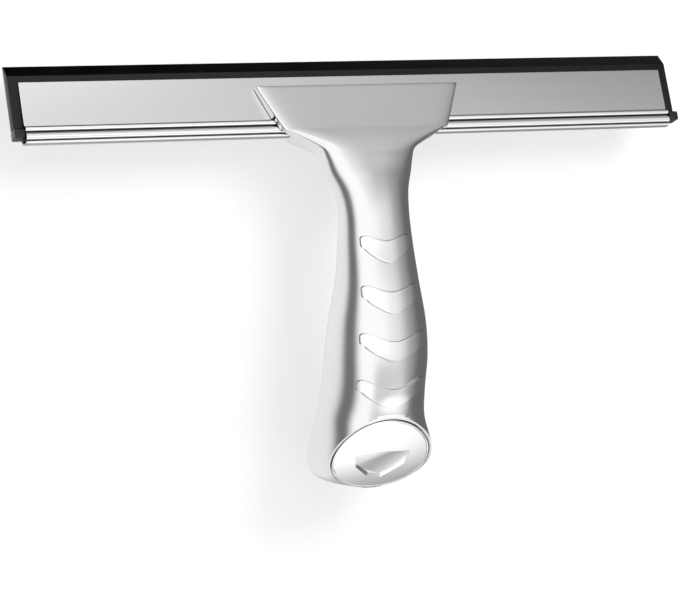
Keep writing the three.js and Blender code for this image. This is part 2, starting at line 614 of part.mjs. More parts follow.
place("steel_channel", steelChannel(), steel);
place("rubber_blade", rubberBlade(), black);
for (const [side, word] of [[-1, "left"], [1, "right"]]) {
  place(`end_cap_${word}`, endCap(side), black);
  place(`clamp_washer_${word}`, clampWasher(side), steel);
  place(`clamp_screw_${word}`, clampScrew(side), steel);
}
place("clamp_plate", clampPlate(), satin);
place("handle_casting", handleCasting(), satin);
PADS.forEach((pad, n) => place(`grip_pad_${n + 1}`, gripPad(pad), satin));
place("butt_cap", buttCap(), mirror);
place("butt_cap_nut", pushNut(), steel);
place("rear_cover", rearCover(), satin);
place("cover_gasket", coverGasket(), black);
place("cover_screw_upper", coverScrew(COVER_SCREW_HEIGHTS[0]), steel);
place("cover_screw_lower", coverScrew(COVER_SCREW_HEIGHTS[1]), steel);

export default squeegee;
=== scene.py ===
"""Looks for a hand squeegee: folded steel head, rubber blade, cast grip with raised pads, butt cap.

Sizes are in millimetres until a mesh is finished. Head pieces are built upright and then leaned
back, with depth along Y and height along Z from the middle of the channel's underside.
"""

import logging
import math
from bisect import bisect_left
from collections.abc import Callable, Iterable, Sequence
from dataclasses import dataclass, field
from enum import Enum

import bmesh
import bpy
from mathutils import Matrix, Vector


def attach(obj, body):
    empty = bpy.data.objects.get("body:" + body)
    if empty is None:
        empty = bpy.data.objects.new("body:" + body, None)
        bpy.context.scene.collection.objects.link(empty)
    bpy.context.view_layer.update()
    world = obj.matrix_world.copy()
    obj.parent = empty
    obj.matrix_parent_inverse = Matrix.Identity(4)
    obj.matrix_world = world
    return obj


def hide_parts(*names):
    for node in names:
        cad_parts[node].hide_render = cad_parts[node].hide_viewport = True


logging.basicConfig(level=logging.INFO, format="%(levelname)s %(name)s: %(message)s")
LOG = logging.getLogger("squeegee")

MM = 0.001
TOUCH = 0.3  # gap between pieces that touch
LEAN = math.radians(22.5)  # of the head, backwards
HANDLE_BODY = "handle_and_head"

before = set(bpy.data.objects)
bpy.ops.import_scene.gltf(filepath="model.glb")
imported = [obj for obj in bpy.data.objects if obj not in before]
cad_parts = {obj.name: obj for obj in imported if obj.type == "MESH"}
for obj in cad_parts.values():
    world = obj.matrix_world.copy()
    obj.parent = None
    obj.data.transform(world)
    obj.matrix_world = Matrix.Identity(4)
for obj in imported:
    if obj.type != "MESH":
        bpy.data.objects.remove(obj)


# ---- finishes -----------------------------------------------------------------------------------


class Grain(Enum):
    """How a finish is textured."""

    SATIN = "satin"
    BRUSHED = "brushed"
    POLISHED = "polished"
    MOULDED = "moulded"


@dataclass(frozen=True)
class Finish:
    """A surface finish with its own procedural material.

    Attributes:
        name: Name of the material.
        colour: Linear base colour.
        metallic: 1 for metal, 0 for rubber.
        roughness: Lowest and highest roughness over the surface.
        grain: Kind of texture.
        grain_scale: Texture features per metre.
        relief: Height of the texture in metres.
        tint: Share by which the colour is darker in its patches.
        specular: Specular level.
    """

    name: str
    colour: tuple[float, float, float]
    metallic: float
    roughness: tuple[float, float]
    grain: Grain
    grain_scale: float
    relief: float
    tint: float
    specular: float = 0.5

    def material(self) -> bpy.types.Material:
        """Returns this finish's material, made on first use."""
        known = bpy.data.materials.get(self.name)
        if known is not None:
            return known
        material = bpy.data.materials.new(self.name)
        material.use_nodes = True
        tree = material.node_tree
        nodes, links = tree.nodes, tree.links
        shader = nodes["Principled BSDF"]
        shader.inputs["Metallic"].default_value = self.metallic
        shader.inputs["Specular IOR Level"].default_value = self.specular
        shader.inputs["Base Color"].default_value = (*self.colour, 1.0)

        place = nodes.new("ShaderNodeTexCoord")
        stretch = nodes.new("ShaderNodeMapping")
        along = 0.02 if self.grain is Grain.BRUSHED else 1.0
        stretch.inputs["Scale"].default_value = (along, 1.0, 1.0)
        links.new(place.outputs["Object"], stretch.inputs["Vector"])

        fine = nodes.new("ShaderNodeTexNoise")
        fine.inputs["Scale"].default_value = self.grain_scale
        fine.inputs["Detail"].default_value = 3.0
        links.new(stretch.outputs["Vector"], fine.inputs["Vector"])

        broad = nodes.new("ShaderNodeTexNoise")
        broad.inputs["Scale"].default_value = 45.0
        broad.inputs["Detail"].default_value = 2.0
        links.new(place.outputs["Object"], broad.inputs["Vector"])

        both = nodes.new("ShaderNodeMath")
        both.operation = "MULTIPLY_ADD"
        both.inputs[1].default_value = 0.5
        half = nodes.new("ShaderNodeMath")
        half.operation = "MULTIPLY"
        half.inputs[1].default_value = 0.5
        links.new(fine.outputs["Fac"], half.inputs[0])
        links.new(broad.outputs["Fac"], both.inputs[0])
        links.new(half.outputs["Value"], both.inputs[2])

        rough = nodes.new("ShaderNodeMapRange")
        rough.inputs["From Min"].default_value = 0.3
        rough.inputs["From Max"].default_value = 0.7
        rough.inputs["To Min"].default_value = self.roughness[0]
        rough.inputs["To Max"].default_value = self.roughness[1]
        links.new(both.outputs["Value"], rough.inputs["Value"])
        links.new(rough.outputs["Result"], shader.inputs["Roughness"])

        ramp = nodes.new("ShaderNodeValToRGB")
        dark = [channel * (1.0 - self.tint) for channel in self.colour]
        ramp.color_ramp.elements[0].position = 0.35
        ramp.color_ramp.elements[0].color = (*dark, 1.0)
        ramp.color_ramp.elements[1].position = 0.6
        ramp.color_ramp.elements[1].color = (*self.colour, 1.0)
        links.new(both.outputs["Value"], ramp.inputs["Fac"])
        links.new(ramp.outputs["Color"], shader.inputs["Base Color"])

        bump = nodes.new("ShaderNodeBump")
        bump.inputs["Distance"].default_value = self.relief
        bump.inputs["Strength"].default_value = 0.5
        links.new(fine.outputs["Fac"], bump.inputs["Height"])
        links.new(bump.outputs["Normal"], shader.inputs["Normal"])
        return material


SATIN_CHROME = Finish(
    "satin_chrome", (0.80, 0.80, 0.81), 1.0, (0.20, 0.26), Grain.SATIN, 2600.0, 4e-6, 0.05
)
PAD_CHROME = Finish(
    "pad_chrome", (0.84, 0.84, 0.85), 1.0, (0.15, 0.20), Grain.SATIN, 2600.0, 3e-6, 0.04
)
BRIGHT_CHROME = Finish(
    "bright_chrome", (0.94, 0.94, 0.95), 1.0, (0.05, 0.09), Grain.POLISHED, 1500.0, 1e-6, 0.02
)
SHEET_STEEL = Finish(
    "sheet_steel", (0.78, 0.78, 0.79), 1.0, (0.25, 0.27), Grain.BRUSHED, 5000.0, 8e-7, 0.01
)
BEAD_STEEL = Finish(
    "bead_steel", (0.90, 0.90, 0.91), 1.0, (0.09, 0.13), Grain.BRUSHED, 4000.0, 1e-6, 0.03
)
# Dark steel for the bead creases: painted shade in the folds, not a colour of the sheet.
CREASE_SHADE_STEEL = Finish(
    "painted_crease_shade", (0.36, 0.36, 0.37), 1.0, (0.30, 0.38), Grain.BRUSHED, 4000.0, 1e-6, 0.10
)
SCREW_STEEL = Finish(
    "screw_steel", (0.66, 0.66, 0.67), 1.0, (0.24, 0.34), Grain.SATIN, 3000.0, 4e-6, 0.10
)
BLADE_RUBBER = Finish(
    "blade_rubber", (0.006, 0.006, 0.0065), 0.0, (0.32, 0.42), Grain.MOULDED, 1800.0, 8e-6, 0.3, 0.3
)
# Rougher rubber for the lip. Its darker colour and lower specular level are painted shade on the blade's
# top.
LIP_SHADE_RUBBER = Finish(
    "lip_rubber_painted_shade", (0.004, 0.004, 0.0045), 0.0, (0.42, 0.52), Grain.MOULDED, 1800.0, 8e-6, 0.3, 0.2
)
PLUG_RUBBER = Finish(
    "plug_rubber", (0.006, 0.006, 0.0065), 0.0, (0.25, 0.35), Grain.MOULDED, 1400.0, 8e-6, 0.3, 0.5
)
SEAL_RUBBER = Finish(
    "seal_rubber", (0.02, 0.02, 0.02), 0.0, (0.5, 0.65), Grain.MOULDED, 1400.0, 1e-5, 0.3, 0.4
)


# ---- mesh helpers -------------------------------------------------------------------------------


def grid_solid(
    cols: int, rows: int, place: Callable[[float, float, float], Sequence[float]]
) -> bmesh.types.BMesh:
    """Makes a closed sheet with thickness from a flat grid.

    Args:
        cols: Cells across.
        rows: Cells from one end to the other.
        place: Gives a point for (across, along, layer), across and along in -1..1 and layer 0 or 1.

    Returns:
        The mesh, with its normals outwards.
    """
    bm = bmesh.new()
    bmesh.ops.create_grid(bm, x_segments=cols, y_segments=rows, size=1.0)
    grown = bmesh.ops.extrude_face_region(bm, geom=bm.faces[:], use_keep_orig=True)
    upper = [item for item in grown["geom"] if isinstance(item, bmesh.types.BMVert)]
    bmesh.ops.translate(bm, verts=upper, vec=(0.0, 0.0, 1.0))
    for vert in bm.verts:
        vert.co = place(vert.co.x, vert.co.y, vert.co.z)
    bmesh.ops.remove_doubles(bm, verts=bm.verts[:], dist=1e-4)
    bmesh.ops.recalc_face_normals(bm, faces=bm.faces[:])
    return bm


def grid_tube(
    sides: int, rings: int, place: Callable[[float, float], Sequence[float]]
) -> bmesh.types.BMesh:
    """Makes a closed tube from a flat grid whose two long edges are joined.

    Args:
        sides: Cells round the tube.
        rings: Cells along it.
        place: Gives a point for (share round, ring number).

    Returns:
        The mesh, with both ends filled and its normals outwards.
    """
    bm = bmesh.new()
    bmesh.ops.create_grid(bm, x_segments=sides, y_segments=rings, size=1.0)
    for vert in bm.verts:
        round_share = (vert.co.x + 1.0) / 2.0 % 1.0
        vert.co = place(round_share, (vert.co.y + 1.0) / 2.0 * rings)
    bmesh.ops.remove_doubles(bm, verts=bm.verts[:], dist=1e-5)
    bmesh.ops.dissolve_degenerate(bm, edges=bm.edges[:], dist=1e-6)
    bmesh.ops.holes_fill(bm, edges=[edge for edge in bm.edges if edge.is_boundary])
    bmesh.ops.recalc_face_normals(bm, faces=bm.faces[:])
    return bm


def rail(points: Sequence[tuple[float, float]], length: float) -> bmesh.types.BMesh:
    """Pushes a (depth, height) profile along X, centred, and returns the solid."""
    bm = bmesh.new()
    ring = [bm.verts.new((-length / 2.0, depth, height)) for depth, height in points]
    face = bm.faces.new(ring)
    grown = bmesh.ops.extrude_face_region(bm, geom=[face], use_keep_orig=True)
    moved = [item for item in grown["geom"] if isinstance(item, bmesh.types.BMVert)]
    bmesh.ops.translate(bm, verts=moved, vec=(length, 0.0, 0.0))
    bmesh.ops.recalc_face_normals(bm, faces=bm.faces[:])
    return bm


def prism(points: Sequence[tuple[float, float]], near: float, far: float) -> bmesh.types.BMesh:
    """Pushes an (across, up) outline along Y from near to far, and returns the solid."""
    bm = bmesh.new()
    ring = [bm.verts.new((across, near, up)) for across, up in points]
    face = bm.faces.new(ring)
    grown = bmesh.ops.extrude_face_region(bm, geom=[face], use_keep_orig=True)
    moved = [item for item in grown["geom"] if isinstance(item, bmesh.types.BMVert)]
    bmesh.ops.translate(bm, verts=moved, vec=(0.0, far - near, 0.0))
    bmesh.ops.recalc_face_normals(bm, faces=bm.faces[:])
    return bm


def block(size: Sequence[float], middle: Sequence[float]) -> bmesh.types.BMesh:
    """Returns a box of a size about a middle."""
    bm = bmesh.new()
    bmesh.ops.create_cube(bm, size=1.0)
    bmesh.ops.scale(bm, verts=bm.verts[:], vec=size)
    bmesh.ops.translate(bm, verts=bm.verts[:], vec=middle)
    return bm


def turned(profile: Sequence[tuple[float, float]], x: float, z: float) -> bmesh.types.BMesh:
    """Spins a (radius, depth) profile about an axis along Y.

    Args:
        profile: Points from one end of the axis to the other, or a closed loop for a ring.
        x: Place of the axis across.
        z: Height of the axis.

    Returns:
        The solid.
    """
    bm = bmesh.new()
    verts = [bm.verts.new((radius, depth, 0.0)) for radius, depth in profile]
    edges = [bm.edges.new(pair) for pair in zip(verts, verts[1:])]
    if profile[0][0] > 0.0:
        edges.append(bm.edges.new((verts[-1], verts[0])))
    bmesh.ops.spin(
        bm,
        geom=verts + edges,
        cent=(0.0, 0.0, 0.0),
        axis=(0.0, 1.0, 0.0),
        angle=2.0 * math.pi,
        steps=48,
        use_merge=True,
    )
    bmesh.ops.remove_doubles(bm, verts=bm.verts[:], dist=1e-4)
    bmesh.ops.recalc_face_normals(bm, faces=bm.faces[:])
    bmesh.ops.translate(bm, verts=bm.verts[:], vec=(x, 0.0, z))
    return bm


def rod(diameter: float, near: float, far: float, x: float, z: float) -> bmesh.types.BMesh:
    """Returns a plain round bar along Y."""
    return turned([(0.0, near), (diameter / 2.0, near), (diameter / 2.0, far), (0.0, far)], x, z)


def soften(bm: bmesh.types.BMesh, radius: float, angle: float = 40.0, segments: int = 3) -> None:
    """Rounds every outer edge that is sharper than an angle.

    Args:
        bm: The mesh.
        radius: Radius of the rounding.
        angle: Least angle between the two faces, in degrees.
        segments: Steps in the rounding.
    """
    limit = math.radians(angle)
    sharp = [e for e in bm.edges if e.is_manifold and e.calc_face_angle_signed(0.0) > limit]
    bmesh.ops.bevel(
        bm,
        geom=sharp,
        offset=radius,
        offset_type="OFFSET",
        affect="EDGES",
        segments=segments,
        profile=0.5,
        material=-1,
        clamp_overlap=True,
    )


def lean_back(bm: bmesh.types.BMesh) -> bmesh.types.BMesh:
    """Leans a head piece back about the channel's underside, and returns it."""
    bmesh.ops.rotate(bm, verts=bm.verts[:], cent=(0, 0, 0), matrix=Matrix.Rotation(-LEAN, 3, "X"))
    return bm


def temporary(bm: bmesh.types.BMesh) -> bpy.types.Object:
    """Puts a mesh into a nameless object for the joining and cutting, and frees the bmesh."""
    mesh = bpy.data.meshes.new("work")
    bm.to_mesh(mesh)
    bm.free()
    thing = bpy.data.objects.new("work", mesh)
    bpy.context.scene.collection.objects.link(thing)
    return thing


def combine(
    base: bmesh.types.BMesh, steps: Iterable[tuple[str, bmesh.types.BMesh]]
) -> bmesh.types.BMesh:
    """Joins solids to a base, cuts them out of it or keeps what they share with it.

    Args:
        base: The solid to start from. It is freed.
        steps: Pairs of UNION, DIFFERENCE or INTERSECT and a solid. Each solid is freed.

    Returns:
        The result.
    """
    body = temporary(base)
    tools = []
    for operation, tool_mesh in steps:
        tool = temporary(tool_mesh)
        tools.append(tool)
        change = body.modifiers.new("combine", "BOOLEAN")
        change.operation = operation
        change.solver = "MANIFOLD"
        change.object = tool
    shape = body.evaluated_get(bpy.context.evaluated_depsgraph_get())
    result = bmesh.new()
    result.from_mesh(shape.to_mesh())
    shape.to_mesh_clear()
    for thing in [body, *tools]:
        mesh = thing.data
        bpy.data.objects.remove(thing)
        bpy.data.meshes.remove(mesh)
    return result


def node_copy(node: str) -> bmesh.types.BMesh:
    """Returns a merged copy of a CAD node's mesh, in millimetres, with its flat faces joined."""
    bm = bmesh.new()
    bm.from_mesh(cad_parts[node].data)
    bmesh.ops.scale(bm, verts=bm.verts[:], vec=(1.0 / MM,) * 3)
    bmesh.ops.remove_doubles(bm, verts=bm.verts[:], dist=1e-3)
    bmesh.ops.dissolve_limit(
        bm, angle_limit=math.radians(0.5), verts=bm.verts[:], edges=bm.edges[:]
    )
    bmesh.ops.recalc_face_normals(bm, faces=bm.faces[:])
    return bm


@dataclass(frozen=True)
class Part:
    """What is said about a finished piece.

    Attributes:
        name: Name of the piece.
        node: CAD node that it stands for.
        body: CAD body that it moves with.
        slot: Material slot of the record; not used.
        smooth: Faces that meet at less than this many degrees are shaded as one.
    """

    name: str
    node: str
    body: str
    slot: str
    smooth: float = 32.0

    def finish(self, bm: bmesh.types.BMesh, *finishes: Finish) -> bpy.types.Object:
        """Turns a mesh in millimetres into the piece.

        Args:
            bm: The mesh. It is freed.
            *finishes: Finishes in the order of the faces' material numbers.

        Returns:
            The piece's object.
        """
        bmesh.ops.scale(bm, verts=bm.verts[:], vec=(MM,) * 3)
        for face in bm.faces:
            face.smooth = True
        mesh = bpy.data.meshes.new(self.name)
        bm.to_mesh(mesh)
        bm.free()
        mesh.set_sharp_from_angle(angle=math.radians(self.smooth))
        for finish in finishes:
            mesh.materials.append(finish.material())
        piece = bpy.data.objects.new(self.name, mesh)
        bpy.context.scene.collection.objects.link(piece)
        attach(piece, self.body)
        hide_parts(self.node)
        LOG.info("%s: %d faces for %s", self.name, len(mesh.polygons), self.node)
        return piece


# ---- the head -----------------------------------------------------------------------------------


@dataclass
class Head:
    """The folded steel channel, the rubber blade in it and the plug at each end.

    Attributes:
        length: Length of the channel.
        height: Height of its walls.
        sheet: Thickness of the sheet.
        depth: Front to back outside.
        bead_depth: How far the beads stand out of the flat wall.
        bead_nip: How much shorter a bead is inside, as a share of the sheet.
        bead_top: Height where the beads end.
        bead_split: Height of the crease between the beads.
        bead_foot: Height of the crease under the lower bead.
        back_bend: Radius of the fold at the foot of the back wall.
        bead_steps: Steps round a bead.
        edge: Bevel of the sheet's edges.
        rim: Bevel round the front of the flat wall.
        crease_depth: Faces less far in front than this, in the creases, take the dark finish that paints
            the shade in the folds.
    """

    length: float = 246.0
    height: float = 21.7
    sheet: float = 0.6
    depth: float = 5.5
    bead_depth: float = 1.4
    bead_nip: float = 0.6
    bead_top: float = 6.2
    bead_split: float = 4.0
    bead_foot: float = 1.05
    back_bend: float = 4.0
    bead_steps: int = 18
    edge: float = 0.1
    rim: float = 0.22
    crease_depth: float = 0.85

    def bulge(self, low: float, high: float, depth: float, base: float) -> list[tuple[float, float]]:
        """Returns a half-round bead in front of a base, from its top down."""
        middle, half = (low + high) / 2.0, (high - low) / 2.0
        angles = [math.pi / 2.0 - n / self.bead_steps * math.pi for n in range(self.bead_steps + 1)]
        return [(base - depth * math.cos(a), middle + half * math.sin(a)) for a in angles]

    def skin_profile(self, inset: float) -> list[tuple[float, float]]:
        """Returns the sheet's outer profile at inset 0, or its inner one at the sheet's thickness."""
        nip = inset * self.bead_nip
        back = self.depth - inset
        radius = self.back_bend - inset
        quarter = [n / 12 * math.pi / 2.0 for n in range(13)]
        bend = [
            (back - radius * (1.0 - math.sin(a)), inset + radius * (1.0 - math.cos(a)))
            for a in quarter
        ]
        return [
            *self.bulge(self.bead_split + nip, self.bead_top - nip, self.bead_depth, inset),
            *self.bulge(self.bead_foot + nip, self.bead_split - nip, self.bead_depth, inset),
            *self.bulge(inset, self.bead_foot - nip / 2.0, self.bead_depth / 2.0, inset),
            *bend,
        ]

    def build_channel(self) -> None:
        """Builds and dresses the folded sheet, with polished beads below a satin wall and painted shade in
        the bead creases.
        """
        points = [
            (0.0, self.height),
            *self.skin_profile(0.0),
            (self.depth, self.height),
            (self.depth - self.sheet, self.height),
            *reversed(self.skin_profile(self.sheet)),
            (self.sheet, self.height),
        ]
        bm = rail(points, self.length)
        bmesh.ops.bevel(
            bm,
            geom=[edge for edge in bm.edges if self.is_rim(edge)],
            offset=self.rim,
            offset_type="OFFSET",
            affect="EDGES",
            segments=3,
            profile=0.5,
            material=-1,
        )
        soften(bm, self.edge, 60.0, 2)
        for face in bm.faces:
            middle = face.calc_center_median()
            if middle.z < self.bead_top and middle.y < self.sheet:
                # Faces deep in the creases between the beads take the painted shade.
                deep = middle.y > -self.crease_depth and middle.z > self.bead_foot - self.edge
                face.material_index = 2 if deep else 1
        part = Part("channel_sheet", "steel_channel", HANDLE_BODY, "channel", 40.0)
        part.finish(lean_back(bm), SHEET_STEEL, BEAD_STEEL, CREASE_SHADE_STEEL)

    def is_rim(self, edge: bmesh.types.BMEdge) -> bool:
        """Tells whether an edge bounds the front of the flat wall, above or at its ends."""
        places = [vert.co for vert in edge.verts]
        above = all(place.z > self.height - self.edge for place in places)
        end = all(
            abs(place.x) > self.length / 2.0 - self.edge and place.z > self.bead_top - self.edge
            for place in places
        )
        return (above or end) and all(abs(place.y) < self.edge for place in places)

    def build_rubber(self) -> None:
        """Builds and dresses the blade, with a rougher bevelled lip whose darker colour and lower specular
        level are painted shade.
        """
        bm = node_copy("rubber_blade")
        soften(bm, 0.18, 25.0, 3)
        up = Vector((0.0, math.sin(LEAN), math.cos(LEAN)))
        shoulder = self.height + 2.5
        for face in bm.faces:
            # Faces above the shoulder take the lip's rubber, darkened as painted shade.
            face.material_index = int(face.calc_center_median().dot(up) > shoulder)
        part = Part("wiper_blade", "rubber_blade", "rubber", "rubber", 50.0)
        part.finish(bm, BLADE_RUBBER, LIP_SHADE_RUBBER)

    def build_plugs(self) -> None:
        """Builds and dresses the two end plugs: a rounded block on a tongue inside the channel."""
        for side, word in ((-1.0, "left"), (1.0, "right")):
            start = self.length / 2.0
            outer = block((3.6, 5.3, 3.2), (side * (start + TOUCH + 1.8), 1.25, 3.5))
            soften(outer, 0.55, 60.0, 5)
            tongue = block((7.1, 2.4, 1.9), (side * (start - 2.95), 2.1, 2.45))
            soften(tongue, 0.2, 60.0, 2)
            bm = combine(outer, [("UNION", tongue)])
            part = Part(f"end_plug_{word}", f"end_cap_{word}", f"{word}_cap", "end_cap", 40.0)
            part.finish(lean_back(bm), PLUG_RUBBER)

    def build(self) -> None:
        """Builds the head's pieces."""
        self.build_channel()
        self.build_rubber()
        self.build_plugs()


@dataclass
class Screw:
    """A pan head screw with a cross recess, along Y with its head at the back.

    Attributes:
        diameter: Of the shank.
        head: Diameter of the head.
        tip: Depth of the shank's end.
        seat: Depth of the underside of the head.
        crown: Depth of the top of the head.
        x: Place across.
        z: Height.
    """

    diameter: float
    head: float
    tip: float
    seat: float
    crown: float
    x: float
    z: float

    def mesh(self) -> bmesh.types.BMesh:
        """Returns the screw's solid."""
        shank, rim = self.diameter / 2.0, self.head / 2.0
        rise = self.crown - self.seat
        dome = [
            (rim * math.cos(a), self.seat + rise * (0.45 + 0.55 * math.sin(a)))
            for a in (math.radians(step) for step in range(0, 90, 15))
        ]
        profile = [
            (0.0, self.tip),
            (shank * 0.6, self.tip),
            (shank, self.tip + 0.6),
            (shank, self.seat),
            (rim * 0.95, self.seat),
            (rim, self.seat + rise * 0.12),
            *dome,
            (0.0, self.crown),
        ]
        body = turned(profile, self.x, self.z)
        width, length = self.head * 0.16, self.head * 0.56
        floor = self.seat + rise * 0.35
        middle = (self.x, floor + 5.0, self.z)
        return combine(
            body,
            [
                ("DIFFERENCE", block((length, 10.0, width), middle)),
                ("DIFFERENCE", block((width, 10.0, length), middle)),
            ],
        )


@dataclass
class Clamp:
    """The plate behind the channel, and its two screws and washers.

    Attributes:
        face: Depth of the plate's front.
        thickness: Thickness of the plate.
        screw_height: Height of the screws.
        spread: From the middle to each screw.
        washer_thickness: Thickness of a washer.
    """

    face: float = 5.8
    thickness: float = 2.4
    screw_height: float = -6.5
    spread: float = 7.5
    washer_thickness: float = 0.6

    def build(self) -> None:
        """Builds and dresses the clamp's pieces."""
        plate = node_copy("clamp_plate")
        soften(plate, 0.35, 50.0, 3)
        part = Part("clamp_bar", "clamp_plate", HANDLE_BODY, "clamp", 35.0)
        part.finish(plate, SHEET_STEEL)
        back = self.face + self.thickness
        for side, word in ((-1.0, "left"), (1.0, "right")):
            x = side * self.spread
            near = back + TOUCH
            far = near + self.washer_thickness
            ring = [(1.8, near), (3.4, near), (3.5, near + 0.1), (3.5, far - 0.1), (3.4, far), (1.8, far)]
            washer = turned(ring, x, self.screw_height)
            part = Part(f"washer_{word}", f"clamp_washer_{word}", HANDLE_BODY, "fastener")
            part.finish(lean_back(washer), SCREW_STEEL)
            seat = far + TOUCH
            screw = Screw(3.0, 5.6, -1.5, seat, seat + 1.8, x, self.screw_height)
            part = Part(f"pan_screw_{word}", f"clamp_screw_{word}", HANDLE_BODY, "fastener")
            part.finish(lean_back(screw.mesh()), SCREW_STEEL)


# ---- the handle ---------------------------------------------------------------------------------


@dataclass(frozen=True)
class Section:
    """One section of the handle, from the fan down.

    Attributes:
        height: Along the section's own up direction.
        lean: Degrees that the section is turned back.
        half: Half width.
        front: Depth of the front.
        waist: Depth where the section is widest.
        rear: Depth of the back.
        square: Exponent of the rounded outline.
    """

    height: float
    lean: float
    half: float
    front: float
    waist: float
    rear: float
    square: float


SECTIONS = (
    Section(17.6, 22.5, 38.7, -2.7, 1.0, 5.0, 22.0),
    Section(2.3, 22.5, 31.9, -4.6, 0.4, 5.4, 18.0),
    Section(0.8, 22.5, 30.1, -4.9, 0.3, 5.4, 14.0),
    Section(-1.2, 22.5, 26.2, -5.3, 0.2, 5.4, 9.0),
    Section(-3.6, 22.0, 21.8, -5.7, 0.1, 5.4, 6.0),
    Section(-6.2, 21.0, 17.9, -6.1, 0.0, 5.3, 4.4),
    Section(-9.0, 19.5, 16.7, -6.6, -0.1, 5.0, 3.4),
    Section(-14.0, 15.0, 15.5, -8.3, -0.7, 4.4, 2.8),
    Section(-20.0, 8.5, 13.4, -12.2, -3.6, 2.4, 2.5),
    Section(-27.0, 2.5, 12.5, -16.4, -7.6, 0.6, 2.5),
    Section(-36.0, 0.0, 13.0, -19.8, -10.0, 0.0, 2.5),
    Section(-50.0, 0.0, 14.3, -23.6, -11.8, 1.0, 2.5),
    Section(-64.0, 0.0, 16.7, -26.3, -11.3, 2.2, 2.5),
    Section(-76.0, 0.0, 17.6, -27.1, -10.0, 3.4, 2.5),
    Section(-88.0, 0.0, 17.8, -25.6, -6.4, 4.7, 2.5),
    Section(-98.0, 0.0, 18.9, -23.3, -4.0, 5.8, 2.5),
    Section(-107.0, 0.0, 20.4, -24.5, -2.0, 6.4, 3.2),
    Section(-113.0, 0.0, 20.9, -24.0, -1.0, 6.4, 3.2),
    Section(-117.0, 0.0, 20.2, -17.5, -0.6, 6.0, 2.8),
    Section(-120.0, 0.0, 17.6, -12.3, -0.2, 4.6, 2.7),
    Section(-122.3, 0.0, 12.0, -9.7, 0.0, 1.8, 2.6),
    Section(-123.4, 0.0, 6.5, -8.6, -1.6, -0.8, 2.4),
    Section(-123.9, 0.0, 3.0, -8.0, -4.4, -3.0, 2.2),
)
SECTION_KEYS = ("height", "lean", "half", "front", "waist", "rear", "square")


